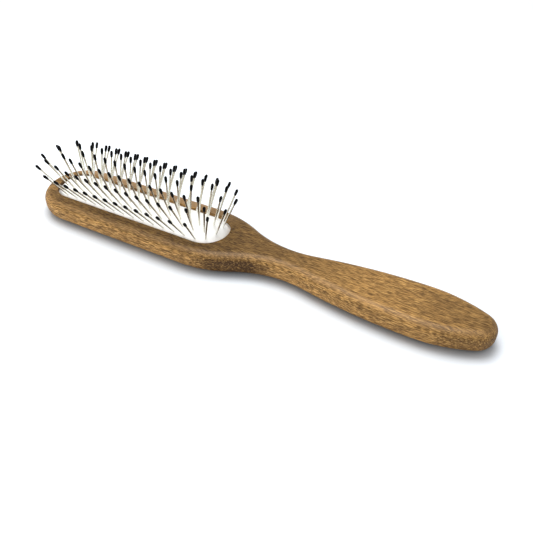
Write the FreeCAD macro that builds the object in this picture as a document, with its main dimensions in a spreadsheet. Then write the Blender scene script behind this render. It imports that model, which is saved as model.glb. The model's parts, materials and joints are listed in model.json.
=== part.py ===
"""Wooden pin brush with a domed rubber cushion, lying on its back with the pins up.

Millimetres. The origin is on the surface that the brush rests on, at the middle of its
length and width. +X runs from the brushing head to the butt of the handle, +Z is up.
"""
import FreeCAD, Part
import math
import os

import Sketcher

V = FreeCAD.Vector

SIZES = {
    # wooden body
    "brush_length": 220.0,
    "body_thick": 11.5,
    "head_width": 36.0,
    "neck_width": 13.5,
    "handle_width": 25.4,
    "shoulder_lead": 4.2,
    "shoulder_length": 45.9,
    "neck_radius": 47.0,
    "swell_share": 0.664,
    "butt_radius": 8.1,
    "face_round": 4.3,
    "back_round": 5.5,
    # seat that is routed into the head for the cushion
    "rim_width": 7.0,
    "cavity_depth": 7.0,
    "groove_drop": 2.0,
    "groove_tall": 1.6,
    "groove_reach": 1.5,
    # rubber cushion
    "rubber_wall": 1.4,
    "crown_rise": 3.4,
    "rubber_gap": 0.15,
    "lip_gap": 0.1,
    # pin lattice
    "pin_pitch": 5.66,
    "straight_gaps": 13,
    "edge_margin": 2.03,
    "inner_angle": 16.5,
    "middle_angle": 29.2,
    "outer_angle": 36.5,
    "end_sway_angle": 8.0,
    "end_fade": 0.45,
    "end_reach": 4.2,
    "inner_pull": 1.4,
    "centre_reach": 4.0,
    "fan_depth": 0.82,
    "fan_turn": 0.77,
    "head_fan_share": 0.88,
    "handle_fan_share": 0.6,
    # one pin and its tip
    "pin_length": 17.6,
    "wire_width": 0.8,
    "pin_head_width": 1.8,
    "pin_head_thick": 0.5,
    "pin_head_drop": 0.5,
    "tip_length": 3.0,
    "tip_width": 1.35,
    "tip_neck": 1.05,
    "tip_nose": 0.8,
    "tip_belly_place": 1.9,
    "tip_socket": 1.4,
}

FACETS = 5
OUTER_END_ANGLES = (-54.0, -18.0, 18.0, 54.0)
MIDDLE_END_ANGLES = (-60.0, 60.0)

doc = FreeCAD.newDocument("pin_brush")


# Sheet of sizes

sheet = doc.addObject("Spreadsheet::Sheet", "Sizes")
for place, (alias, value) in enumerate(SIZES.items(), start=1):
    sheet.set("A%d" % place, alias)
    sheet.set("B%d" % place, str(value))
    sheet.setAlias("B%d" % place, alias)
doc.recompute()


def size(alias):
    return float(sheet.get(alias))


HEAD_RADIUS = size("head_width") / 2
STRAIGHT = size("pin_pitch") * size("straight_gaps")
HEAD_CENTRE = -size("brush_length") / 2 + HEAD_RADIUS
HANDLE_CENTRE = HEAD_CENTRE + STRAIGHT
SHOULDER_PLACE = HANDLE_CENTRE - size("shoulder_lead")
NECK_PLACE = SHOULDER_PLACE + size("shoulder_length")
SWELL_PLACE = NECK_PLACE + size("swell_share") * (size("brush_length") / 2 - NECK_PLACE)
OPENING_RADIUS = HEAD_RADIUS - size("rim_width")
LIP_TOP = size("body_thick") - size("groove_drop")
LIP_BOTTOM = LIP_TOP - size("groove_tall")
DOME_HALF = OPENING_RADIUS - size("rubber_gap")
DOME_RISE = size("groove_drop") + size("crown_rise")
DOME_RADIUS = (DOME_HALF ** 2 + DOME_RISE ** 2) / (2 * DOME_RISE)
DOME_CENTRE = LIP_TOP + DOME_RISE - DOME_RADIUS

HEAD_CENTRE_X = "-Sizes.brush_length / 2 + Sizes.head_width / 2"
HANDLE_CENTRE_X = HEAD_CENTRE_X + " + Sizes.pin_pitch * Sizes.straight_gaps"
SHOULDER_X = HANDLE_CENTRE_X + " - Sizes.shoulder_lead"
NECK_X = SHOULDER_X + " + Sizes.shoulder_length"
SWELL_X = NECK_X + " + Sizes.swell_share * (Sizes.brush_length / 2 - (" + NECK_X + "))"
OPENING_HALF = "Sizes.head_width / 2 - Sizes.rim_width"
CROWN_HEIGHT = "Sizes.body_thick + Sizes.crown_rise"
LIP_TOP_HEIGHT = "Sizes.body_thick - Sizes.groove_drop"
LIP_BOTTOM_HEIGHT = LIP_TOP_HEIGHT + " - Sizes.groove_tall"


# Sketch helpers

def new_body(name):
    body = doc.addObject("PartDesign::Body", name)
    body.Label = name
    return body


def new_sketch(body, name, role, offset):
    """Sketch on one of the body's own origin planes, lifted along its normal by offset."""
    sketch = body.newObject("Sketcher::SketchObject", name)
    plane = [item for item in body.Origin.OriginFeatures if item.Role == role][0]
    sketch.AttachmentSupport = [(plane, "")]
    sketch.MapMode = "FlatFace"
    sketch.setExpression("AttachmentOffset.Base.z", offset)
    return sketch


def line(sketch, start, end):
    return sketch.addGeometry(Part.LineSegment(V(*start, 0), V(*end, 0)), False)


def arc(sketch, centre, radius, start, end):
    """Arc from start to end, anticlockwise, about centre."""
    angles = [math.atan2(point[1] - centre[1], point[0] - centre[0]) for point in (start, end)]
    circle = Part.Circle(V(*centre, 0), V(0, 0, 1), radius)
    return sketch.addGeometry(Part.ArcOfCircle(circle, *angles), False)


def tie(sketch, kind, *parts, value=None, bound=None):
    """Constraint, whose datum follows the sheet where bound is given."""
    if bound is None:
        return sketch.addConstraint(Sketcher.Constraint(kind, *parts))
    index = sketch.addConstraint(Sketcher.Constraint(kind, *parts, value))
    name = "d%d" % index
    sketch.renameConstraint(index, name)
    sketch.setExpression("Constraints." + name, bound)
    return index


def feature(body, kind, name, sketch, **settings):
    item = body.newObject("PartDesign::" + kind, name)
    if sketch is not None:
        item.Profile = sketch
        sketch.Visibility = False
    for key, setting in settings.items():
        if isinstance(setting, str) and "Sizes." in setting:
            item.setExpression(key, setting)
        else:
            setattr(item, key, setting)
    body.Tip = item
    doc.recompute()
    return item


# Wooden body

def toward(start, end, distance):
    """Point at a distance from start, in the direction of end."""
    span = math.hypot(end[0] - start[0], end[1] - start[1])
    return tuple(start[axis] + (end[axis] - start[axis]) * distance / span for axis in (0, 1))


def outline(sketch):
    """Half of the plan: round head, shoulder, waist, swelling handle and round butt."""
    head, neck, handle = HEAD_RADIUS, size("neck_width") / 2, size("handle_width") / 2
    tip_x, butt_x = -size("brush_length") / 2, size("brush_length") / 2
    shoulder_x, neck_x, handle_x = SHOULDER_PLACE, NECK_PLACE, SWELL_PLACE
    neck_r, butt_r = size("neck_radius"), size("butt_radius")

    def joined_radius(x, half):
        """Radius of the convex arc, flat at (x, half), that runs into the waist arc."""
        along, up = neck_x - x, neck + neck_r - half
        return (along ** 2 + up ** 2 - neck_r ** 2) / (2 * (half - neck))

    shoulder_r = joined_radius(shoulder_x, head)
    side_r = joined_radius(handle_x, handle)
    along = butt_x - butt_r - handle_x
    flank_r = (along ** 2 + handle ** 2 - butt_r ** 2) / (2 * (handle - butt_r))

    head_c = (tip_x + head, 0.0)
    shoulder_c = (shoulder_x, head - shoulder_r)
    neck_c = (neck_x, neck + neck_r)
    side_c = (handle_x, handle - side_r)
    flank_c = (handle_x, handle - flank_r)
    butt_c = (butt_x - butt_r, 0.0)

    shoulder_end = toward(shoulder_c, neck_c, shoulder_r)
    side_start = toward(side_c, neck_c, side_r)
    flank_end = toward(flank_c, butt_c, flank_r)

    head_arc = arc(sketch, head_c, head, (head_c[0], head), (tip_x, 0.0))
    edge = line(sketch, (head_c[0], head), (shoulder_x, head))
    shoulder = arc(sketch, shoulder_c, shoulder_r, shoulder_end, (shoulder_x, head))
    waist = arc(sketch, neck_c, neck_r, shoulder_end, side_start)
    side = arc(sketch, side_c, side_r, (handle_x, handle), side_start)
    flank = arc(sketch, flank_c, flank_r, flank_end, (handle_x, handle))
    butt = arc(sketch, butt_c, butt_r, (butt_x, 0.0), flank_end)
    axis = line(sketch, (tip_x, 0.0), (butt_x, 0.0))

    tie(sketch, "Tangent", head_arc, 1, edge, 1)
    tie(sketch, "Tangent", edge, 2, shoulder, 2)
    tie(sketch, "Tangent", shoulder, 1, waist, 1)
    tie(sketch, "Tangent", waist, 2, side, 2)
    tie(sketch, "Tangent", side, 1, flank, 2)
    tie(sketch, "Tangent", flank, 1, butt, 2)
    tie(sketch, "Coincident", butt, 1, axis, 2)
    tie(sketch, "Coincident", head_arc, 2, axis, 1)
    tie(sketch, "PointOnObject", axis, 1, -1)
    tie(sketch, "PointOnObject", axis, 2, -1)
    tie(sketch, "PointOnObject", head_arc, 3, -1)
    tie(sketch, "PointOnObject", butt, 3, -1)
    tie(sketch, "Horizontal", edge)
    tie(sketch, "Radius", head_arc, value=head, bound="Sizes.head_width / 2")
    tie(sketch, "DistanceX", axis, 1, value=tip_x, bound="-Sizes.brush_length / 2")
    tie(sketch, "DistanceX", axis, 2, value=butt_x, bound="Sizes.brush_length / 2")
    tie(sketch, "DistanceX", edge, 2, value=shoulder_x, bound=SHOULDER_X)
    tie(sketch, "Radius", waist, value=neck_r, bound="Sizes.neck_radius")
    tie(sketch, "DistanceX", waist, 3, value=neck_x, bound=NECK_X)
    tie(sketch, "DistanceY", waist, 3, value=neck_c[1], bound="Sizes.neck_width / 2 + Sizes.neck_radius")
    tie(sketch, "DistanceX", side, 1, value=handle_x, bound=SWELL_X)
    tie(sketch, "DistanceY", side, 1, value=handle, bound="Sizes.handle_width / 2")
    tie(sketch, "DistanceX", side, 3, value=handle_x, bound=SWELL_X)
    tie(sketch, "Radius", butt, value=butt_r, bound="Sizes.butt_radius")


def stadium(sketch, radius, bound):
    """Slot with round ends about the first and last pin of the straight rows."""
    left, right = HEAD_CENTRE, HANDLE_CENTRE
    head_end = arc(sketch, (left, 0.0), radius, (left, radius), (left, -radius))
    lower = line(sketch, (left, -radius), (right, -radius))
    handle_end = arc(sketch, (right, 0.0), radius, (right, -radius), (right, radius))
    upper = line(sketch, (right, radius), (left, radius))
    chain = (head_end, lower, handle_end, upper)
    for first, second in zip(chain, chain[1:] + chain[:1]):
        tie(sketch, "Tangent", first, 2, second, 1)
    tie(sketch, "PointOnObject", head_end, 3, -1)
    tie(sketch, "PointOnObject", handle_end, 3, -1)
    tie(sketch, "Radius", head_end, value=radius, bound=bound)
    tie(sketch, "DistanceX", head_end, 3, value=left, bound=HEAD_CENTRE_X)
    tie(sketch, "DistanceX", handle_end, 3, value=right, bound=HANDLE_CENTRE_X)


def level_edges(shape, height):
    """Names of the edges that lie at one height."""
    return ["Edge%d" % number for number, edge in enumerate(shape.Edges, start=1)
            if abs(edge.BoundBox.ZMin - height) < 1e-6 and abs(edge.BoundBox.ZMax - height) < 1e-6]


def make_wood():
    body = new_body("wooden_body")
    plan = new_sketch(body, "plan", "XY_Plane", "0 * Sizes.body_thick")
    outline(plan)
    half = feature(body, "Pad", "half_board", plan, Length="Sizes.body_thick")
    whole = body.newObject("PartDesign::Mirrored", "board")
    whole.Originals = [half]
    whole.MirrorPlane = (plan, ["H_Axis"])
    body.Tip = whole
    doc.recompute()
    last = whole
    for name, height, radius in (("face_edge", size("body_thick"), "Sizes.face_round"),
                                 ("back_edge", 0.0, "Sizes.back_round")):
        edges = level_edges(last.Shape, height)
        last = feature(body, "Fillet", name, None, Base=(last, edges), Radius=radius)
    solid = last.Shape.Volume

    mouth = new_sketch(body, "mouth", "XY_Plane", "Sizes.body_thick")
    stadium(mouth, OPENING_RADIUS, OPENING_HALF)
    cavity = feature(body, "Pocket", "cavity", mouth, Length="Sizes.cavity_depth")
    slot = new_sketch(body, "slot", "XY_Plane", LIP_TOP_HEIGHT)
    stadium(slot, OPENING_RADIUS + size("groove_reach"), OPENING_HALF + " + Sizes.groove_reach")
    groove = feature(body, "Pocket", "lip_groove", slot, Length="Sizes.groove_tall")
    if not groove.Shape.Volume < cavity.Shape.Volume < solid:
        raise RuntimeError("a pocket in the wooden body cut nothing")
    return body


# Rubber cushion

def dome_section(sketch, sides):
    """Wall of the cushion seen from its end, with the lip that its groove holds.

    One side gives a half closed on the middle line, both sides give the whole arch.
    """
    inner = DOME_RADIUS - size("rubber_wall")
    foot = math.sqrt(inner ** 2 - (LIP_BOTTOM - DOME_CENTRE) ** 2)
    reach = OPENING_RADIUS + size("groove_reach") - size("lip_gap")
    lip_face = LIP_TOP - size("lip_gap")
    for side in sides:
        crown_out, crown_in = (0.0, DOME_CENTRE + DOME_RADIUS), (0.0, DOME_CENTRE + inner)
        shoulder, lip_in = (side * DOME_HALF, LIP_TOP), (side * DOME_HALF, lip_face)
        lip_top, lip_low = (side * reach, lip_face), (side * reach, LIP_BOTTOM)
        heel = (side * foot, LIP_BOTTOM)
        centre = (0.0, DOME_CENTRE)
        out_ends, in_ends = [crown_out, shoulder], [crown_in, heel]
        first, last = (2, 1) if side > 0 else (1, 2)
        if side > 0:
            out_ends.reverse()
            in_ends.reverse()
        outside = arc(sketch, centre, DOME_RADIUS, *out_ends)
        step = line(sketch, shoulder, lip_in)
        top = line(sketch, lip_in, lip_top)
        rim = line(sketch, lip_top, lip_low)
        under = line(sketch, lip_low, heel)
        inside = arc(sketch, centre, inner, *in_ends)
        tie(sketch, "Coincident", outside, last, step, 1)
        for one, other in ((step, top), (top, rim), (rim, under)):
            tie(sketch, "Coincident", one, 2, other, 1)
        tie(sketch, "Coincident", under, 2, inside, last)
        for upright in (step, rim):
            tie(sketch, "Vertical", upright)
        for level in (top, under):
            tie(sketch, "Horizontal", level)
        for curve in (outside, inside):
            tie(sketch, "PointOnObject", curve, 3, -2)
        sign = "" if side > 0 else "-1 * "
        tie(sketch, "DistanceX", outside, last, value=shoulder[0],
            bound=sign + "(" + OPENING_HALF + " - Sizes.rubber_gap)")
        tie(sketch, "DistanceY", outside, last, value=LIP_TOP, bound=LIP_TOP_HEIGHT)
        tie(sketch, "DistanceY", inside, 3, value=DOME_CENTRE, bound=dome_centre_bound())
        tie(sketch, "DistanceX", rim, 1, value=lip_top[0],
            bound=sign + "(" + OPENING_HALF + " + Sizes.groove_reach - Sizes.lip_gap)")
        tie(sketch, "DistanceY", rim, 1, value=lip_face, bound=LIP_TOP_HEIGHT + " - Sizes.lip_gap")
        tie(sketch, "DistanceY", rim, 2, value=LIP_BOTTOM, bound=LIP_BOTTOM_HEIGHT)
        if side == sides[0]:
            first_arch = (outside, inside, first)
            for curve, height, bound in ((outside, crown_out[1], CROWN_HEIGHT),
                                         (inside, crown_in[1], CROWN_HEIGHT + " - Sizes.rubber_wall")):
                tie(sketch, "PointOnObject", curve, first, -2)
                tie(sketch, "DistanceY", curve, first, value=height, bound=bound)
        else:
            for curve, mate in ((outside, first_arch[0]), (inside, first_arch[1])):
                tie(sketch, "Coincident", mate, first_arch[2], curve, first)
        if len(sides) == 1:
            closing = line(sketch, crown_in, crown_out)
            tie(sketch, "Coincident", closing, 1, inside, first)
            tie(sketch, "Coincident", closing, 2, outside, first)


def dome_radius_bound():
    half = "(" + OPENING_HALF + " - Sizes.rubber_gap)"
    rise = "(Sizes.groove_drop + Sizes.crown_rise)"
    return "((" + half + "^2 + " + rise + "^2) / (2 * " + rise + "))"


def dome_centre_bound():
    return "(" + CROWN_HEIGHT + " - " + dome_radius_bound() + ")"


def dome_height(x, y):
    """Height of the cushion's outer face above a point of the plan."""
    past_end = max(HEAD_CENTRE - x, x - HANDLE_CENTRE, 0.0)
    return DOME_CENTRE + math.sqrt(DOME_RADIUS ** 2 - y ** 2 - past_end ** 2)


def make_cushion_blank():
    body = new_body("cushion_blank")
    arch = new_sketch(body, "arch", "YZ_Plane", HEAD_CENTRE_X)
    dome_section(arch, (1, -1))
    feature(body, "Pad", "straight_part", arch, Length="Sizes.pin_pitch * Sizes.straight_gaps")
    for name, place, backwards in (("head_end", HEAD_CENTRE_X, False),
                                   ("handle_end", HANDLE_CENTRE_X, True)):
        half = new_sketch(body, name + "_section", "YZ_Plane", place)
        dome_section(half, (1,))
        feature(body, "Revolution", name, half, ReferenceAxis=(half, ["V_Axis"]),
                Angle=180.0, Reversed=backwards)
    return body


# Pins and tips

def prism(name, width, low, high):
    item = doc.addObject("Part::Prism", name)
    item.Polygon = FACETS
    item.setExpression("Circumradius", width + " / 2")
    item.setExpression("Height", "(" + high + ") - (" + low + ")")
    item.setExpression("Placement.Base.z", low)
    return item


def make_pin():
    """Wire pin along +Z, with the cushion's outer face at zero and its flat head below."""
    seat = "-Sizes.rubber_wall - Sizes.pin_head_drop"
    wire = prism("wire", "Sizes.wire_width", seat,
                 "Sizes.pin_length - Sizes.tip_length + Sizes.tip_socket")
    head = prism("flat_head", "Sizes.pin_head_width", seat + " - Sizes.pin_head_thick", seat)
    pin = doc.addObject("Part::Fuse", "pin")
    pin.Base, pin.Tool = wire, head
    return pin


def ring(width, height):
    """Corners of a level regular outline about the Z axis."""
    turns = [2 * math.pi * corner / FACETS for corner in range(FACETS)]
    return [V(width / 2 * math.cos(turn), width / 2 * math.sin(turn), height) for turn in turns]


def stacked_rings(label, rings):
    """Solid with flat faces between rings of corners, listed from the lowest up."""
    panes = [rings[0], rings[-1]]
    for low, high in zip(rings, rings[1:]):
        for corner in range(FACETS):
            panes.append([low[corner - 1], low[corner], high[corner], high[corner - 1]])
    faces = [Part.Face(Part.makePolygon(pane + pane[:1])) for pane in panes]
    item = doc.addObject("Part::Feature", label)
    item.Shape = Part.makeSolid(Part.makeShell(faces))
    return item


def make_tip():
    """Rounded tip along +Z: a drop, widest past its middle, with a blind socket for the wire."""
    start = size("pin_length") - size("tip_length")
    drop = stacked_rings("drop", [ring(size("tip_neck"), start),
                                  ring(size("tip_width"), start + size("tip_belly_place")),
                                  ring(size("tip_nose"), size("pin_length"))])
    low = "Sizes.pin_length - Sizes.tip_length"
    socket = prism("socket", "Sizes.wire_width", low, low + " + Sizes.tip_socket")
    tip = doc.addObject("Part::Cut", "tip")
    tip.Base, tip.Tool = drop, socket
    return tip


def row_place(number):
    """Distance from the middle line and lean of a ring of pins, numbered from the middle out.

    The rings share the rubber equally, out to a margin beside the opening's edge.
    """
    distance = (OPENING_RADIUS - size("edge_margin")) * number / 3
    angle = (0.0, size("inner_angle"), size("middle_angle"), size("outer_angle"))[number]
    return distance, math.tan(math.radians(angle))


def pin_placement(x, y, lean_x, lean_y):
    direction = V(lean_x, lean_y, 1.0)
    return FreeCAD.Placement(V(x, y, dome_height(x, y)),
                             FreeCAD.Rotation(V(0, 0, 1), direction))


def straight_row(number):
    """Pins of one lengthwise row. Every second row stands half a pitch further on.

    The middle row stops one pin short at each end, and the rows beside it close in there.
    """
    distance, lean = row_place(abs(number))
    side = math.copysign(1.0, number)
    staggered = number % 2 == 0
    steps = range(int(size("straight_gaps")) + (0 if staggered else 1))
    if number == 0:
        steps = steps[1:-1]
    pull = size("inner_pull") if abs(number) == 1 else 0.0
    sway = math.tan(math.radians(size("end_sway_angle")))
    fade = size("end_fade") / max(abs(number), 1)
    places = []
    for step in steps:
        x = HEAD_CENTRE + size("pin_pitch") * (step + (0.5 if staggered else 0.0))
        near_head, near_handle = [math.exp(-abs(step - end) * size("pin_pitch") / size("end_reach"))
                                  for end in (steps[0], steps[-1])]
        x += pull if step == steps[0] else -pull if step == steps[-1] else 0.0
        across = lean * (1.0 - fade * (near_head + near_handle))
        places.append(pin_placement(x, side * distance, sway * (near_handle - near_head),
                                    side * across))
    return places


def end_fan(centre, direction, share):
    """Pins on the flattened arcs that join the rows round one end, and one inside them."""
    reach = direction * size("centre_reach")
    places = [pin_placement(centre + reach, 0.0, direction * row_place(1)[1], 0.0)]
    for number, ring_angles in ((2, MIDDLE_END_ANGLES), (3, OUTER_END_ANGLES)):
        distance, lean = row_place(number)
        for angle in ring_angles:
            place, heading = math.radians(angle), math.radians(angle * size("fan_turn"))
            x = centre + direction * distance * size("fan_depth") * math.cos(place)
            places.append(pin_placement(x, distance * math.sin(place),
                                        direction * lean * share * math.cos(heading),
                                        lean * share * math.sin(heading)))
    return places


def placed_group(label, master, places):
    """Copies of one piece, each a solid of its own, at the places given."""
    copies = []
    for place in places:
        copy = master.Shape.copy()
        copy.Placement = place * copy.Placement
        copies.append(copy)
    group = doc.addObject("Part::Feature", label)
    group.Shape = Part.makeCompound(copies)
    group.Placement = FreeCAD.Placement()
    group.Label = label
    return group


# Assembly

wood = make_wood()
blank = make_cushion_blank()
pin = make_pin()
tip = make_tip()
hole = prism("pin_hole", "Sizes.wire_width", "-3 * Sizes.rubber_wall", "Sizes.rubber_wall")
doc.recompute()

groups = {"row_%d" % (number + 4): straight_row(number) for number in range(-3, 4)}
groups["head_end"] = end_fan(HEAD_CENTRE, -1.0, size("head_fan_share"))
groups["handle_end"] = end_fan(HANDLE_CENTRE, 1.0, size("handle_fan_share"))

subparts = [wood]
holes = placed_group("pin_holes", hole, [place for places in groups.values() for place in places])
cushion = doc.addObject("Part::Cut", "rubber_cushion")
cushion.Base, cushion.Tool = blank, holes
cushion.Label = "rubber_cushion"
subparts.append(cushion)
for group_name, places in groups.items():
    subparts.append(placed_group("pins_" + group_name, pin, places))
    subparts.append(placed_group("tips_" + group_name, tip, places))
doc.recompute()

for item in doc.Objects:
    if "Invalid" in item.State or "Error" in item.State:
        raise RuntimeError(item.Name + " failed: " + str(item.State))
for item in subparts:
    if item.Shape.isNull() or not item.Shape.isValid():
        raise RuntimeError(item.Label + " has no valid shape")

os.makedirs("parts", exist_ok=True)
for item in subparts:
    item.Shape.exportStep("parts/" + item.Label + ".step")
    print(item.Label, len(item.Shape.Solids), "solids", round(item.Shape.Volume, 2), "mm3")
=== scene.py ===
"""Looks of the wooden pin brush: lacquered beech, white rubber, steel pins and black tips."""
import json
import math

import bmesh
import bpy
from bpy.props import FloatProperty, FloatVectorProperty, IntProperty, PointerProperty
from mathutils import Matrix, Vector

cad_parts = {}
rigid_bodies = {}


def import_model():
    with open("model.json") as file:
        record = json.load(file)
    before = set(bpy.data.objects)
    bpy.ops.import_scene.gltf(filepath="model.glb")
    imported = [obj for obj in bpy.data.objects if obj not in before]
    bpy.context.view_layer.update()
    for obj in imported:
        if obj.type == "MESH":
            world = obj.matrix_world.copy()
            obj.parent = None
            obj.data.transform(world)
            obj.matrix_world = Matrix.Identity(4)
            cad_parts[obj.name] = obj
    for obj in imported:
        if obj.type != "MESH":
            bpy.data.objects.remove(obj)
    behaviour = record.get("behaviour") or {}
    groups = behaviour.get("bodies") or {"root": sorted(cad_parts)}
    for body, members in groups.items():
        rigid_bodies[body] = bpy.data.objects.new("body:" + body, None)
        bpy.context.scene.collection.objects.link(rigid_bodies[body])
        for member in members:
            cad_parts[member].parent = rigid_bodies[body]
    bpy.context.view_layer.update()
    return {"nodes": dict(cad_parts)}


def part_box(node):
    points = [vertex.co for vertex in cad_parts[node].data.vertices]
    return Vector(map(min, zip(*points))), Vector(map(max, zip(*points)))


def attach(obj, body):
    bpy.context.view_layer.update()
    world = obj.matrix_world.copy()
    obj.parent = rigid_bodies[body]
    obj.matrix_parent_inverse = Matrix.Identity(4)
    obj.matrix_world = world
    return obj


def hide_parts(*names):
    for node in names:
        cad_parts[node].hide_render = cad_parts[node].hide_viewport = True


for leftover in list(bpy.data.objects):
    bpy.data.objects.remove(leftover)
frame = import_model()

bl_info = {
    "name": "Pin Brush",
    "version": (1, 0, 0),
    "blender": (4, 5, 0),
    "location": "View3D > Sidebar > Pin Brush",
    "description": "Dresses the packed model of a wooden pin brush and sets its studio",
    "category": "Object",
}

BODY = "root"
PIN_NODES = sorted(name for name in frame["nodes"] if name.startswith("pins_"))
TIP_NODES = sorted(name for name in frame["nodes"] if name.startswith("tips_"))
WOOD_LOW, WOOD_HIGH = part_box("wooden_body")
CUSHION_LOW, CUSHION_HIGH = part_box("rubber_cushion")
OUTER_END_ANGLES = (-54.0, -18.0, 18.0, 54.0)
MIDDLE_END_ANGLES = (-60.0, 60.0)
TIP_PROFILE = ((0.0, 0.74), (0.22, 0.90), (0.5, 1.0), (0.74, 1.0), (0.90, 0.84), (1.0, 0.52))
ROUND_SIDES = 10
HARD_TURN = math.radians(32)
CAMERA_PLACE = Vector((0.1031, -0.1695, 0.1639))
CAMERA_RIGHT = Vector((0.8800, 0.4749, 0.0036))
CAMERA_UP = Vector((-0.3091, 0.5669, 0.7637))
WHITE = (1.0, 1.0, 1.0, 1.0)
WARM_LIGHT = (1.0, 0.99, 0.97)
COOL_LIGHT = (0.98, 0.98, 1.0)
FLOOR_TINT = (0.95, 1.0, 1.06)


# Settings

def length(name, description, default):
    return FloatProperty(name=name, description=description, default=default,
                         min=0.0, precision=5, unit="LENGTH")


def colour(name, description, default):
    return FloatVectorProperty(name=name, description=description, default=default,
                               size=4, min=0.0, max=1.0, subtype="COLOR")


def share(name, description, default):
    return FloatProperty(name=name, description=description, default=default,
                         min=0.0, max=1.0, subtype="FACTOR")


def angle(name, description, default):
    return FloatProperty(name=name, description=description,
                         default=math.radians(default), subtype="ANGLE")


class BeechSettings(bpy.types.PropertyGroup):
    stain: colour("Stain", "Mid tone of the stained wood", (0.50, 0.275, 0.085, 1.0))
    deep: colour("Deep stain", "Colour of the dark flecks", (0.07, 0.034, 0.012, 1.0))
    worn: colour("Worn stain", "Colour of the light flecks", (0.89, 0.53, 0.18, 1.0))
    head_depth: share("Head depth", "Brightness of the flat face at the head", 0.42)
    neck_depth: share("Neck depth", "Brightness of the flat face at the neck", 0.56)
    butt_depth: share("Butt depth", "Brightness of the flat face at the butt", 0.58)
    # Painted light: the sides are made brighter than the flat face, to stand in for the light
    # falling on them.
    painted_side_light: share("Painted side light", "Brightness of the sides", 0.92)
    # Painted shade on the sides that face towards the butt, at the shoulder and the butt.
    painted_end_shade: colour("Painted end shade", "Colour of the painted shade on the sides that face towards the butt",
                      (0.030, 0.011, 0.002, 1.0))
    painted_end_shade_strength: share("Painted end shade strength", "Strength of that colour", 0.9)
    # Painted highlight: the paler tone on the head's far rim and along the rounded edge.
    pale: colour("Painted highlight", "Tone of the head's rim on its paler side", (0.60, 0.38, 0.20, 1.0))
    rim_highlight_share: share("Rim highlight share", "Strength of that tone", 0.5)
    # Painted highlight along the rounded edge.
    edge_highlight: share("Edge highlight", "Strength of that tone along the rounded edge", 0.10)
    fleck_length: length("Fleck length", "Length of one fleck along the grain", 0.0030)
    fleck_width: length("Fleck width", "Width of one fleck across the grain", 0.00037)
    figure_length: length("Figure length", "Length of the slow changes of tone", 0.024)
    figure_width: length("Figure width", "Width of the slow changes of tone", 0.0030)
    lacquer: share("Lacquer", "Weight of the clear lacquer", 0.35)
    lacquer_blur: share("Lacquer blur", "Roughness of the clear lacquer", 0.42)


class CushionSettings(bpy.types.PropertyGroup):
    rubber: colour("Rubber", "Colour of the rubber", (0.955, 0.955, 0.935, 1.0))
    head_centre: FloatProperty(name="Head centre", unit="LENGTH", precision=5, default=-0.092,
                               description="Place of the round end next to the brush's head")
    handle_centre: FloatProperty(name="Handle centre", unit="LENGTH", precision=5, default=-0.01842,
                                 description="Place of the round end next to the handle")
    half_width: length("Half width", "Half the width of the dome at its foot", 0.01085)
    lip_reach: length("Lip reach", "Half the width across the lip in its groove", 0.0124)
    lip_top: length("Lip top", "Height of the dome's foot", 0.0095)
    lip_gap: length("Lip gap", "Gap above the lip in its groove", 0.0001)
    lip_bottom: length("Lip bottom", "Height of the lip's underside", 0.0079)
    wall: length("Wall", "Thickness of the rubber", 0.0014)


class PinSettings(bpy.types.PropertyGroup):
    steel: colour("Steel", "Colour of the bright wire", (0.70, 0.67, 0.55, 1.0))
    # Painted reflection of the white rubber on the wire's foot.
    foot: colour("Foot", "Colour of the wire next to the rubber", (0.95, 0.95, 0.90, 1.0))
    # Painted shade and painted reflection of the wood on the wire's downward side.
    underside: colour("Underside", "Colour of the wire where it faces down",
                      (0.14, 0.08, 0.033, 1.0))
    plastic: colour("Plastic", "Colour of the tips", (0.003, 0.003, 0.0035, 1.0))
    pitch: length("Pitch", "Distance between the pins of a row", 0.00566)
    gaps: IntProperty(name="Gaps", description="Pitches along the longest row", default=13, min=1)
    outer_row: length("Outer row", "Distance of the outer rows from the middle", 0.00897)
    inner_lean: angle("Inner lean", "Lean of the inner rows", 16.5)
    middle_lean: angle("Middle lean", "Lean of the middle rows", 29.2)
    outer_lean: angle("Outer lean", "Lean of the outer rows", 36.5)
    end_sway: angle("End sway", "Lean along the brush of a row's last pin", 8.0)
    end_fade: share("End fade", "Share of its lean that the inner rows' last pin loses", 0.45)
    end_reach: length("End reach", "Distance over which sway and fade die out", 0.0042)
    inner_pull: length("Inner pull", "Shift of the inner rows' last pin to the middle", 0.0014)
    centre_reach: length("Centre reach", "Place of the single pin past a round end's centre", 0.004)
    fan_depth: share("Fan depth", "Flattening of the arcs of pins round the ends", 0.82)
    fan_turn: share("Fan turn", "Share of its place's angle that an end pin's lean takes", 0.77)
    head_fan: share("Head fan", "Share of its ring's lean that a pin has at the head", 0.88)
    handle_fan: share("Handle fan", "Share of its ring's lean that a pin has at the handle", 0.6)
    reach: length("Reach", "Length of a pin above the rubber", 0.0176)
    wire: length("Wire", "Width of the wire", 0.0008)
    head_width: length("Head width", "Width of the flat head under the rubber", 0.0018)
    head_thick: length("Head thickness", "Thickness of that head", 0.0005)
    head_drop: length("Head drop", "Drop from the rubber's inside to the head", 0.0005)
    tip_length: length("Tip length", "Length of the black tip", 0.003)
    tip_width: length("Tip width", "Width of the black tip", 0.00135)


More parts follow.
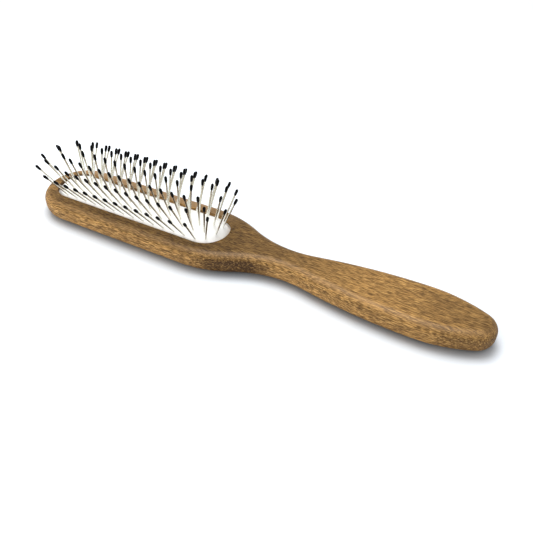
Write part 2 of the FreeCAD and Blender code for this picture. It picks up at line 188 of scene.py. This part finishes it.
class StageSettings(bpy.types.PropertyGroup):
    floor: colour("Floor", "Colour of the floor as a light bounces off it", (0.88, 0.88, 0.89, 1.0))
    floor_seen: FloatProperty(name="Floor seen", default=1.15, min=0.0, max=3.0,
                              description="Brightness of the floor where it is looked at")
    # Painted contact shadow on the floor under the brush.
    painted_contact_shadow: colour("Painted contact shadow", "Colour of the floor in the narrow gap under the brush",
                    (0.12, 0.135, 0.16, 1.0))
    contact_reach: length("Contact reach", "Distance over which that colour fades out", 0.014)
    sky: FloatProperty(name="Sky", description="Strength of the light from all round",
                       default=0.46, min=0.0, max=3.0)
    softbox: FloatProperty(name="Softbox", description="Power of the lamp overhead",
                           default=4.0, min=0.0, unit="POWER")
    side: FloatProperty(name="Side", description="Power of the low lamp before the brush's head",
                        default=2.8, min=0.0, unit="POWER")
    strip: FloatProperty(name="Strip", description="Power of the lamp mirrored in the lacquer",
                         default=5.5, min=0.0, unit="POWER")
    lens: FloatProperty(name="Lens", description="Focal length in millimetres",
                        default=38.59, min=1.0)


# Nodes

class Value:
    """An output of a node. Arithmetic on it adds Math nodes to the same tree."""

    def __init__(self, graph, socket):
        self.graph = graph
        self.socket = socket

    def maths(self, operation, *values):
        return self.graph.add("ShaderNodeMath", {"operation": operation}, dict(enumerate(values)))

    def __add__(self, other):
        return self.maths("ADD", self, other)

    def __sub__(self, other):
        return self.maths("SUBTRACT", self, other)

    def __rsub__(self, other):
        return self.maths("SUBTRACT", other, self)

    def __mul__(self, other):
        return self.maths("MULTIPLY", self, other)

    def __gt__(self, other):
        return self.maths("GREATER_THAN", self, other)

    __radd__ = __add__
    __rmul__ = __mul__

    def clamped(self):
        return self.graph.add("ShaderNodeClamp", {}, {"Value": self})


class Graph:
    """Adds nodes to one tree."""

    def __init__(self, tree):
        self.tree = tree

    @staticmethod
    def pick(sockets, name):
        """A socket by its place, its identifier or else its name."""
        if isinstance(name, int):
            return sockets[name]
        return next((item for item in sockets if item.identifier == name), None) or sockets[name]

    def add(self, kind, settings, inputs, output=0):
        """New node with its settings made first, and then its inputs set or linked."""
        node = self.tree.nodes.new(kind)
        for name, setting in settings.items():
            if name == "stops":
                ramp = node.color_ramp.elements
                while len(ramp) < len(setting):
                    ramp.new(0.5)
                for stop, (place, tone) in zip(ramp, setting):
                    stop.position = place
                    stop.color = (tone, tone, tone, 1.0)
            elif name == "curve":
                curve = node.mapping.curves[0]
                while len(curve.points) < len(setting):
                    curve.points.new(0.5, 0.5)
                for point, place in zip(curve.points, setting):
                    point.location = place
                node.mapping.update()
            else:
                setattr(node, name, setting)
        for name, value in inputs.items():
            socket = self.pick(node.inputs, name)
            if isinstance(value, Value):
                self.tree.links.new(value.socket, socket)
            else:
                socket.default_value = value
        if not node.outputs:
            return None
        return Value(self, self.pick(node.outputs, output))

    def mix(self, amount, first, second, blend="MIX"):
        """Mix of two colours."""
        return self.add("ShaderNodeMix", {"data_type": "RGBA", "blend_type": blend},
                        {"Factor_Float": amount, "A_Color": first, "B_Color": second},
                        "Result_Color")

    def ramp(self, value, *stops):
        return self.add("ShaderNodeValToRGB", {"stops": stops}, {"Fac": value}, "Color")

    def noise(self, where, detail=2.0, roughness=0.5, distortion=0.0):
        return self.add("ShaderNodeTexNoise", {},
                        {"Vector": where, "Scale": 1.0, "Detail": detail,
                         "Roughness": roughness, "Distortion": distortion}, "Fac")

    def stretched(self, where, size, shift=(0.0, 0.0, 0.0)):
        """Coordinates in which a pattern of unit size has the given size in metres."""
        return self.add("ShaderNodeMapping", {},
                        {"Vector": where, "Location": shift,
                         "Scale": tuple(1.0 / axis for axis in size)})

    def part(self, vector, axis):
        return self.add("ShaderNodeSeparateXYZ", {}, {"Vector": vector}, axis)


def place_on_piece(graph):
    return graph.add("ShaderNodeTexCoord", {}, {}, "Object")


def facing_on_piece(graph):
    return graph.add("ShaderNodeTexCoord", {}, {}, "Normal")


def new_material(name):
    material = bpy.data.materials.new(name)
    material.use_nodes = True
    material.node_tree.nodes.clear()
    return material, Graph(material.node_tree)


def surface(graph, **values):
    """Principled surface. A name's words are joined by an underscore."""
    inputs = {name.replace("_", " "): value for name, value in values.items()}
    shader = graph.add("ShaderNodeBsdfPrincipled", {}, inputs)
    graph.add("ShaderNodeOutputMaterial", {}, {"Surface": shader})


def bump(graph, height, strength, distance):
    return graph.add("ShaderNodeBump", {},
                     {"Height": height, "Strength": strength, "Distance": distance})


# Finishes

def stained_beech(look):
    """Beech with its grain along X, flecked all over.

    The flat face is darkest at the head, lighter at its very end, and brightest along the handle.
    The sides are painted brighter for the light on them, with painted shade where they face towards
    the butt at the shoulder and the butt, and the rounded edge and the head's far rim carry a
    painted highlight.
    """
    material, graph = new_material("stained_beech")
    where = place_on_piece(graph)
    fleck = (look.fleck_length, look.fleck_width, look.fleck_width)
    figure = (look.figure_length, look.figure_width, look.figure_width)
    pore = (look.fleck_length * 1.6, look.fleck_width * 0.5, look.fleck_width * 0.5)

    slow = graph.noise(graph.stretched(where, figure), 3.0, 0.55, 0.6)
    dark = graph.noise(graph.stretched(where, fleck), 1.0, 0.5, 0.3)
    light_shift, pore_shift = (7.3, 3.1, 5.7), (1.7, 9.2, 4.4)
    light = graph.noise(graph.stretched(where, fleck, light_shift), 1.0, 0.5, 0.3)
    pores = graph.noise(graph.stretched(where, pore, pore_shift), 1.0)

    dark_mask = graph.ramp(dark, (0.46, 0.0), (0.62, 1.0))
    light_mask = graph.ramp(light, (0.48, 0.0), (0.64, 1.0))
    pore_mask = graph.ramp(pores, (0.50, 0.0), (0.64, 1.0))
    slow_mask = graph.ramp(slow, (0.36, 0.0), (0.66, 1.0))

    facing = facing_on_piece(graph)
    up = graph.part(facing, "Z")
    side = graph.ramp(up, (0.30, 1.0), (0.96, 0.0))
    edge = graph.ramp(up, (0.50, 0.0), (0.68, 1.0), (0.86, 1.0), (0.98, 0.0))
    along = (graph.part(where, "X") - WOOD_LOW.x) * (1.0 / (WOOD_HIGH.x - WOOD_LOW.x))
    # Painted shade: the sides that face towards the butt are darkened, fully up to the neck and at
    # half strength along the handle and the butt; light flecks show through a little.
    painted_end_shade_mask = graph.ramp(graph.part(facing, "X"), (0.08, 0.0), (0.28, 1.0))
    painted_end_shade_mask = painted_end_shade_mask * graph.ramp(up, (0.30, 1.0), (0.62, 0.0)) * look.painted_end_shade_strength
    painted_end_shade_mask = painted_end_shade_mask * graph.ramp(along, (0.62, 1.0), (0.70, 0.5))
    depth = graph.ramp(along, (0.0, 0.80), (0.10, look.head_depth), (0.46, look.head_depth),
                       (0.62, look.neck_depth), (0.76, 1.0), (0.84, 1.0), (1.0, look.butt_depth))

    tone = graph.mix(slow_mask * 0.5, look.stain, look.deep)
    tone = graph.mix(light_mask * (0.45 + side * 0.25), tone, look.worn)
    tone = graph.mix(dark_mask * (0.75 + side * 0.05), tone, look.deep)
    tone = graph.mix(pore_mask * 0.55, tone, look.deep)
    # Painted light: the sides get their own brightness, above that of the flat face, to stand in
    # for the light falling on them.
    level = (look.painted_side_light, look.painted_side_light, look.painted_side_light, 1.0)
    tone = graph.mix(1.0, tone, graph.mix(side, depth, level), "MULTIPLY")
    # Painted highlight: a paler tone along the rounded edge between the flat face and the side.
    tone = graph.mix(edge * look.edge_highlight, tone, look.pale)
    tone = graph.mix(painted_end_shade_mask * (1.0 - light_mask * 0.4), tone, look.painted_end_shade)

    # Painted highlight: a paler tone on the far rim of the head, more on its flat face than on its
    # side.
    rim = graph.ramp(graph.part(where, "Y") * (1.0 / WOOD_HIGH.y), (0.45, 0.0), (0.60, 1.0))
    rim = rim * graph.ramp(along, (0.36, 1.0), (0.47, 0.0))
    tone = graph.mix(rim * (1.0 - side * 0.8) * look.rim_highlight_share, tone, look.pale)

    relief = dark_mask * -0.6 + pore_mask * -0.4
    surface(graph, Base_Color=tone, Roughness=0.42 + dark_mask * 0.12,
            Specular_IOR_Level=0.0, Coat_Weight=look.lacquer, Coat_Roughness=look.lacquer_blur,
            Coat_IOR=1.5, Normal=bump(graph, relief, 0.35, 0.00008))
    return material


def white_rubber(look):
    """Moulded rubber with a faint mottle and a fine skin."""
    material, graph = new_material("white_rubber")
    where = place_on_piece(graph)
    mottle = graph.noise(graph.stretched(where, (0.006, 0.006, 0.006)), 2.0)
    skin = graph.noise(graph.stretched(where, (0.0004, 0.0004, 0.0004)), 1.0)
    shade = tuple(channel * 0.95 for channel in look.rubber[:3]) + (1.0,)
    surface(graph, Base_Color=graph.mix(mottle, look.rubber, shade), Roughness=0.34 + mottle * 0.1,
            Specular_IOR_Level=0.45, Normal=bump(graph, skin, 0.08, 0.00004))
    return material


def bright_steel(look):
    """Drawn wire, with a painted reflection of the rubber at its foot, and painted shade and a
    painted reflection of the wood, dull brown, where it faces down.
    """
    material, graph = new_material("bright_steel")
    where = place_on_piece(graph)
    drawn = graph.noise(graph.stretched(where, (0.00012, 0.00012, 0.002)), 1.0)
    above = (graph.part(where, "Z") - CUSHION_HIGH.z) * (1.0 / look.reach)
    up = graph.part(facing_on_piece(graph), "Z")
    # Painted shade and painted reflection of the wood: dull brown on the wire's downward side,
    # growing with height.
    under = graph.ramp(above * 0.6 - up, (0.12, 0.0), (0.55, 1.0))
    # Painted reflection: the wire turns pale next to the rubber, which it would mirror there.
    clear = graph.ramp(above + 0.2, (0.1, 0.0), (0.7, 1.0))
    tone = graph.mix(clear, look.foot, look.steel)
    tone = graph.mix(under * (0.8 + drawn * 0.2), tone, look.underside)
    surface(graph, Base_Color=tone, Metallic=0.9, Roughness=0.16 + drawn * 0.12,
            Normal=bump(graph, drawn, 0.08, 0.00002))
    return material


def black_plastic(look):
    """Glossy dipped tips with a barely uneven surface."""
    material, graph = new_material("black_plastic")
    uneven = graph.noise(graph.stretched(place_on_piece(graph), (0.0011, 0.0011, 0.0011)), 1.0)
    lighter = tuple(channel * 2.0 for channel in look.plastic[:3]) + (1.0,)
    surface(graph, Base_Color=graph.mix(uneven, look.plastic, lighter), Specular_IOR_Level=0.03,
            Roughness=0.25 + uneven * 0.1, Normal=bump(graph, uneven, 0.1, 0.00008))
    return material


# Pieces

def new_object(name, mesh, material=None):
    piece = bpy.data.objects.new(name, mesh)
    bpy.context.scene.collection.objects.link(piece)
    if material is not None:
        mesh.materials.clear()
        mesh.materials.append(material)
    return piece


def frozen(piece, name):
    """The evaluated shape of a piece as a plain mesh of its own; the piece itself goes."""
    graph = bpy.context.evaluated_depsgraph_get()
    mesh = bpy.data.meshes.new_from_object(piece.evaluated_get(graph))
    bpy.data.objects.remove(piece)
    mesh.name = name
    return new_object(name, mesh)


def soften(shell, sharp):
    """Smooth faces, with a hard line only where two of them turn by more than an angle."""
    for face in shell.faces:
        face.smooth = True
    for edge in shell.edges:
        edge.smooth = len(edge.link_faces) == 2 and edge.calc_face_angle(math.pi) < sharp


def dress(piece, slot, *nodes):
    """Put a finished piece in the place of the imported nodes."""
    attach(piece, BODY)
    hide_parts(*nodes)


def board_mesh():
    """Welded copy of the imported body, so that its rounded edges shade smoothly."""
    mesh = frame["nodes"]["wooden_body"].data.copy()
    if "custom_normal" in mesh.attributes:
        mesh.attributes.remove(mesh.attributes["custom_normal"])
    shell = bmesh.new()
    shell.from_mesh(mesh)
    bmesh.ops.remove_doubles(shell, verts=shell.verts, dist=1e-6)
    soften(shell, HARD_TURN)
    shell.to_mesh(mesh)
    shell.free()
    return mesh


def dome_section(look):
    """Cross-section of the cushion from its crown out to the lip and back inside."""
    half, foot, crown = look.half_width, look.lip_top, CUSHION_HIGH.z
    rise = crown - foot
    radius = (half ** 2 + rise ** 2) / (2 * rise)
    centre = crown - radius
    inner = radius - look.wall
    outside, inside = [], []
    steps = 26
    for step in range(steps + 1):
        turn = math.asin(half / radius) * step / steps
        outside.append((radius * math.sin(turn), centre + radius * math.cos(turn)))
    last_turn = math.acos((look.lip_bottom - centre) / inner)
    for step in range(steps + 1):
        turn = last_turn * (1 - step / steps)
        inside.append((inner * math.sin(turn), centre + inner * math.cos(turn)))
    lip = [(half, foot - look.lip_gap), (look.lip_reach, foot - look.lip_gap),
           (look.lip_reach, look.lip_bottom)]
    return outside + lip + inside


def stadium_stations(look):
    """Points of the centre line and directions outwards, once round the cushion."""
    start, end = look.head_centre, look.handle_centre
    straight, turns = 26, 40
    stations = []
    for step in range(straight):
        stations.append((start + (end - start) * step / straight, math.pi / 2))
    for step in range(turns):
        stations.append((end, math.pi / 2 - math.pi * step / turns))
    for step in range(straight):
        stations.append((end + (start - end) * step / straight, -math.pi / 2))
    for step in range(turns):
        stations.append((start, -math.pi / 2 - math.pi * step / turns))
    return stations


def cushion_mesh(look):
    section, stations = dome_section(look), stadium_stations(look)
    shell = bmesh.new()
    rings = []
    for x, turn in stations:
        rings.append([shell.verts.new((x + out * math.cos(turn), out * math.sin(turn), height))
                      for out, height in section])
    for ring, after in zip(rings, rings[1:] + rings[:1]):
        for step in range(len(section) - 1):
            shell.faces.new((ring[step], ring[step + 1], after[step + 1], after[step]))
    bmesh.ops.remove_doubles(shell, verts=shell.verts, dist=1e-7)
    bmesh.ops.dissolve_degenerate(shell, edges=shell.edges, dist=1e-7)
    bmesh.ops.recalc_face_normals(shell, faces=shell.faces)
    soften(shell, HARD_TURN)
    mesh = bpy.data.meshes.new("rubber_dome")
    shell.to_mesh(mesh)
    shell.free()
    return mesh


# Pin lattice

def crown_height(x, y, cushion):
    rise = CUSHION_HIGH.z - cushion.lip_top
    radius = (cushion.half_width ** 2 + rise ** 2) / (2 * rise)
    past_end = max(cushion.head_centre - x, x - cushion.handle_centre, 0.0)
    return CUSHION_HIGH.z - radius + math.sqrt(radius ** 2 - y ** 2 - past_end ** 2)


def pin_lattice(pins, cushion):
    """Foot and direction of every pin: seven rows, and the fans round both ends."""
    angles = (0.0, pins.inner_lean, pins.middle_lean, pins.outer_lean)
    rings = [(pins.outer_row * number / 3, math.tan(lean)) for number, lean in enumerate(angles)]
    sway = math.tan(pins.end_sway)
    feet, leans = [], []

    def stand(x, y, lean_x, lean_y):
        feet.append(Vector((x, y, crown_height(x, y, cushion))))
        leans.append(Vector((lean_x, lean_y, 1.0)).normalized())

    for number in range(-3, 4):
        distance, lean = rings[abs(number)]
        side = math.copysign(1.0, number)
        staggered = number % 2 == 0
        steps = range(pins.gaps + (0 if staggered else 1))
        if number == 0:
            steps = steps[1:-1]
        pull = pins.inner_pull if abs(number) == 1 else 0.0
        fade = pins.end_fade / max(abs(number), 1)
        for step in steps:
            near_head, near_handle = [math.exp(-abs(step - end) * pins.pitch / pins.end_reach)
                                      for end in (steps[0], steps[-1])]
            x = cushion.head_centre + pins.pitch * (step + (0.5 if staggered else 0.0))
            x += pull * ((step == steps[0]) - (step == steps[-1]))
            stand(x, side * distance, sway * (near_handle - near_head),
                  side * lean * (1.0 - fade * (near_head + near_handle)))
    for centre, direction, portion in ((cushion.head_centre, -1.0, pins.head_fan),
                                       (cushion.handle_centre, 1.0, pins.handle_fan)):
        stand(centre + direction * pins.centre_reach, 0.0, direction * rings[1][1], 0.0)
        for number, ring_angles in ((2, MIDDLE_END_ANGLES), (3, OUTER_END_ANGLES)):
            distance, lean = rings[number][0], rings[number][1] * portion
            for turn in map(math.radians, ring_angles):
                heading = turn * pins.fan_turn
                stand(centre + direction * distance * pins.fan_depth * math.cos(turn),
                      distance * math.sin(turn), direction * lean * math.cos(heading),
                      lean * math.sin(heading))
    return feet, leans


def lattice_object(pins, cushion):
    """The pins' feet as loose points, each with its direction."""
    feet, leans = pin_lattice(pins, cushion)
    mesh = bpy.data.meshes.new("pin_feet")
    mesh.from_pydata(feet, [], [])
    lean = mesh.attributes.new("lean", "FLOAT_VECTOR", "POINT")
    for item, direction in zip(lean.data, leans):
        item.vector = direction
    return new_object("pin_feet", mesh)


def new_tree(name, sizes):
    """Geometry tree with named inputs for the feet, the material and each size."""
    tree = bpy.data.node_groups.new(name, "GeometryNodeTree")
    tree.interface.new_socket("Geometry", in_out="OUTPUT", socket_type="NodeSocketGeometry")
    tree.interface.new_socket("Feet", in_out="INPUT", socket_type="NodeSocketGeometry")
    tree.interface.new_socket("Material", in_out="INPUT", socket_type="NodeSocketMaterial")
    for size, default in sizes.items():
        socket = tree.interface.new_socket(size, in_out="INPUT", socket_type="NodeSocketFloat")
        socket.default_value = default
    graph = Graph(tree)
    entry = tree.nodes.new("NodeGroupInput")
    inputs = {socket.name: Value(graph, socket) for socket in entry.outputs if socket.name}
    return tree, graph, inputs


def vertical(graph, height):
    return graph.add("ShaderNodeCombineXYZ", {}, {"Z": height})


def rod(graph, sides, width, low, high):
    """Upright rod between two heights, split at its rims so that only its side is round."""
    body = graph.add("GeometryNodeMeshCylinder", {"fill_type": "NGON"},
                     {"Vertices": sides, "Radius": width * 0.5, "Depth": high - low}, "Mesh")
    turn = graph.add("GeometryNodeInputMeshEdgeAngle", {}, {}, "Unsigned Angle")
    body = graph.add("GeometryNodeSplitEdges", {}, {"Mesh": body, "Selection": turn > 1.0})
    body = graph.add("GeometryNodeSetShadeSmooth", {}, {"Geometry": body})
    return graph.add("GeometryNodeTransform", {},
                     {"Geometry": body, "Translation": vertical(graph, (low + high) * 0.5)})


def plant(graph, inputs, piece):
    """One copy of the piece on every foot, turned along its lean, as a plain mesh."""
    lean = graph.add("GeometryNodeInputNamedAttribute", {"data_type": "FLOAT_VECTOR"},
                     {"Name": "lean"}, "Attribute")
    turn = graph.add("FunctionNodeAlignRotationToVector", {"axis": "Z"}, {"Vector": lean})
    copies = graph.add("GeometryNodeInstanceOnPoints", {},
                       {"Points": inputs["Feet"], "Instance": piece, "Rotation": turn})
    real = graph.add("GeometryNodeRealizeInstances", {}, {"Geometry": copies})
    coated = graph.add("GeometryNodeSetMaterial", {},
                       {"Geometry": real, "Material": inputs["Material"]})
    graph.add("NodeGroupOutput", {}, {"Geometry": coated})


def wire_tree(sizes):
    """Wire with a flat head under the rubber."""
    tree, graph, inputs = new_tree("wire_pins", sizes)
    low = inputs["Low"]
    wire = rod(graph, ROUND_SIDES, inputs["Width"], low, inputs["High"])
    head = rod(graph, ROUND_SIDES, inputs["Head Width"], low - inputs["Head Thickness"], low)
    both = graph.tree.nodes.new("GeometryNodeJoinGeometry")
    for part in (head, wire):
        graph.tree.links.new(part.socket, both.inputs[0])
    plant(graph, inputs, Value(graph, both.outputs[0]))
    return tree


def tip_tree(sizes):
    """Drop-shaped tip that is widest past its middle and blunt at its nose."""
    tree, graph, inputs = new_tree("drop_tips", sizes)
    start, end = vertical(graph, inputs["Low"]), vertical(graph, inputs["High"])
    spine = graph.add("GeometryNodeCurvePrimitiveLine", {}, {"Start": start, "End": end})
    spine = graph.add("GeometryNodeResampleCurve", {}, {"Curve": spine, "Count": 8})
    place = graph.add("GeometryNodeSplineParameter", {}, {}, "Factor")
    profile = graph.add("ShaderNodeFloatCurve", {"curve": TIP_PROFILE}, {"Value": place})
    circle = graph.add("GeometryNodeCurvePrimitiveCircle", {},
                       {"Resolution": ROUND_SIDES, "Radius": 1.0})
    drop = graph.add("GeometryNodeCurveToMesh", {},
                     {"Curve": spine, "Profile Curve": circle, "Fill Caps": True,
                      "Scale": profile * inputs["Width"] * 0.5})
    plant(graph, inputs, graph.add("GeometryNodeSetShadeSmooth", {}, {"Geometry": drop}))
    return tree


def grown(name, tree, settings, material):
    """The tree's result on the lattice as a plain mesh object."""
    scene = bpy.context.scene
    piece = lattice_object(scene.brush_pins, scene.brush_cushion)
    modifier = piece.modifiers.new(name, "NODES")
    modifier.node_group = tree
    for item in tree.interface.items_tree:
        if item.in_out == "INPUT" and item.name in settings:
            modifier[item.identifier] = settings[item.name]
        elif item.in_out == "INPUT" and item.name == "Material":
            modifier[item.identifier] = material
    return frozen(piece, name)


# Operators

class MakeWood(bpy.types.Operator):
    """Give the wooden body its stained and lacquered beech"""
    bl_idname = "pin_brush.wood"
    bl_label = "Wooden Body"

    def execute(self, context):
        piece = new_object("beech_board", board_mesh(), stained_beech(context.scene.brush_beech))
        weights = piece.modifiers.new("weights", "WEIGHTED_NORMAL")
        weights.keep_sharp = True
        weights.weight = 100
        dress(frozen(piece, "beech_board"), "wood", "wooden_body")
        return {"FINISHED"}


class MakeCushion(bpy.types.Operator):
    """Make the domed rubber cushion with the lip that its groove holds"""
    bl_idname = "pin_brush.cushion"
    bl_label = "Rubber Cushion"

    def execute(self, context):
        look = context.scene.brush_cushion
        piece = new_object("rubber_dome", cushion_mesh(look), white_rubber(look))
        dress(piece, "cushion_rubber", "rubber_cushion")
        return {"FINISHED"}


class MakePins(bpy.types.Operator):
    """Stand a steel pin on every place of the lattice"""
    bl_idname = "pin_brush.pins"
    bl_label = "Steel Pins"

    def execute(self, context):
        pins, cushion = context.scene.brush_pins, context.scene.brush_cushion
        sizes = {"Width": pins.wire, "Low": -cushion.wall - pins.head_drop,
                 "High": pins.reach - pins.tip_length * 0.5,
                 "Head Width": pins.head_width, "Head Thickness": pins.head_thick}
        piece = grown("steel_pins", wire_tree(sizes), sizes, bright_steel(pins))
        dress(piece, "pin_steel", *PIN_NODES)
        return {"FINISHED"}


class MakeTips(bpy.types.Operator):
    """Put a rounded black tip on every pin"""
    bl_idname = "pin_brush.tips"
    bl_label = "Pin Tips"

    def execute(self, context):
        pins = context.scene.brush_pins
        sizes = {"Width": pins.tip_width, "Low": pins.reach - pins.tip_length, "High": pins.reach}
        piece = grown("plastic_tips", tip_tree(sizes), sizes, black_plastic(pins))
        dress(piece, "tip_plastic", *TIP_NODES)
        return {"FINISHED"}


def seen_directly(graph):
    """One for what the camera or a reflection shows, and zero for the light that bounces."""
    rays = [graph.add("ShaderNodeLightPath", {}, {}, name)
            for name in ("Is Camera Ray", "Is Glossy Ray", "Is Transmission Ray")]
    return (rays[0] + rays[1] + rays[2]).clamped()


def pale_floor(look):
    """Floor that bounces plain light, keeps the shadow, deepens it with a painted contact shadow
    near the brush and turns to white far out.
    """
    material, graph = new_material("pale_floor")
    seen = tuple(look.floor_seen * tone for tone in FLOOR_TINT) + (1.0,)
    bounce = graph.add("ShaderNodeBsdfDiffuse", {}, {"Color": look.floor})
    # Painted shadow: the seen floor turns to the contact colour where ambient occlusion finds the
    # brush close by.
    openness = graph.add("ShaderNodeAmbientOcclusion", {}, {"Distance": look.contact_reach}, "AO")
    near = graph.add("ShaderNodeBsdfDiffuse", {},
                     {"Color": graph.mix(openness, look.painted_contact_shadow, seen)})
    paper = graph.add("ShaderNodeEmission", {}, {"Color": WHITE, "Strength": 1.0})
    away = graph.add("ShaderNodeVectorMath", {"operation": "LENGTH"},
                     {0: place_on_piece(graph)}, "Value")
    far = graph.ramp(away, (0.25, 0.0), (0.60, 1.0))
    shown = graph.add("ShaderNodeMixShader", {}, {0: far, 1: near, 2: paper})
    both = graph.add("ShaderNodeMixShader", {}, {0: seen_directly(graph), 1: bounce, 2: shown})
    graph.add("ShaderNodeOutputMaterial", {}, {"Surface": both})
    return material


def white_room(look):
    """White background, and a dimmer even light on the brush."""
    world = bpy.data.worlds.new("white_room")
    world.use_nodes = True
    world.node_tree.nodes.clear()
    graph = Graph(world.node_tree)
    fill = graph.add("ShaderNodeBackground", {}, {"Strength": look.sky, "Color": WHITE})
    white = graph.add("ShaderNodeBackground", {}, {"Strength": 1.0, "Color": WHITE})
    both = graph.add("ShaderNodeMixShader", {}, {0: seen_directly(graph), 1: fill, 2: white})
    graph.add("ShaderNodeOutputWorld", {}, {"Surface": both})
    return world


def lamp(name, place, size, power, tint, lights=True, mirrored=True):
    """Flat lamp aimed at the brush, which may leave out matt light or its own reflection."""
    data = bpy.data.lights.new(name, "AREA")
    data.shape = "RECTANGLE"
    data.size, data.size_y = size
    data.energy = power
    data.color = tint
    item = bpy.data.objects.new(name, data)
    item.location = place
    item.rotation_euler = (-Vector(place)).to_track_quat("-Z", "Y").to_euler()
    item.visible_diffuse = lights
    item.visible_glossy = mirrored
    bpy.context.scene.collection.objects.link(item)


class MakeStage(bpy.types.Operator):
    """Set the pale floor, the soft studio light and the camera"""
    bl_idname = "pin_brush.stage"
    bl_label = "Studio"

    def execute(self, context):
        scene, look = context.scene, context.scene.brush_stage
        mesh = bpy.data.meshes.new("floor")
        half = 3.0
        mesh.from_pydata([(-half, -half, 0), (half, -half, 0), (half, half, 0), (-half, half, 0)],
                         [], [(0, 1, 2, 3)])
        new_object("floor", mesh, pale_floor(look))
        scene.world = white_room(look)
        lamp("softbox", (-0.12, 0.10, 0.72), (0.45, 0.40), look.softbox, WARM_LIGHT, mirrored=False)
        lamp("side", (-0.35, -0.60, 0.30), (0.6, 0.3), look.side, WARM_LIGHT, mirrored=False)
        lamp("strip", (0.0, -0.12, 0.70), (0.70, 0.45), look.strip, COOL_LIGHT, lights=False)

        data = bpy.data.cameras.new("camera")
        data.lens = look.lens
        data.clip_start, data.clip_end = 0.01, 20.0
        camera = bpy.data.objects.new("camera", data)
        turn = Matrix((CAMERA_RIGHT, CAMERA_UP, CAMERA_RIGHT.cross(CAMERA_UP))).transposed()
        camera.matrix_world = Matrix.Translation(CAMERA_PLACE) @ turn.to_4x4()
        scene.collection.objects.link(camera)
        scene.camera = camera
        scene.view_settings.view_transform = "Standard"
        return {"FINISHED"}


class BrushPanel(bpy.types.Panel):
    """Lists the brush's pieces and their settings"""
    bl_idname = "VIEW3D_PT_pin_brush"
    bl_label = "Pin Brush"
    bl_space_type = "VIEW_3D"
    bl_region_type = "UI"
    bl_category = "Pin Brush"

    def draw(self, context):
        scene, column = context.scene, self.layout.column()
        for operator, group in ((MakeWood, scene.brush_beech), (MakeCushion, scene.brush_cushion),
                                (MakePins, scene.brush_pins), (MakeTips, None),
                                (MakeStage, scene.brush_stage)):
            column.operator(operator.bl_idname)
            if group is not None:
                for name in group.__annotations__:
                    column.prop(group, name)


GROUPS = {"brush_beech": BeechSettings, "brush_cushion": CushionSettings,
          "brush_pins": PinSettings, "brush_stage": StageSettings}
OPERATORS = (MakeWood, MakeCushion, MakePins, MakeTips, MakeStage)


def register():
    for item in (*GROUPS.values(), *OPERATORS, BrushPanel):
        bpy.utils.register_class(item)
    for name, group in GROUPS.items():
        setattr(bpy.types.Scene, name, PointerProperty(type=group))


def unregister():
    for name in GROUPS:
        delattr(bpy.types.Scene, name)
    for item in (BrushPanel, *reversed(OPERATORS), *reversed(GROUPS.values())):
        bpy.utils.unregister_class(item)


def main():
    register()
    bpy.ops.pin_brush.wood()
    bpy.ops.pin_brush.cushion()
    bpy.ops.pin_brush.pins()
    bpy.ops.pin_brush.tips()
    bpy.ops.pin_brush.stage()


if __name__ == "__main__":
    main()
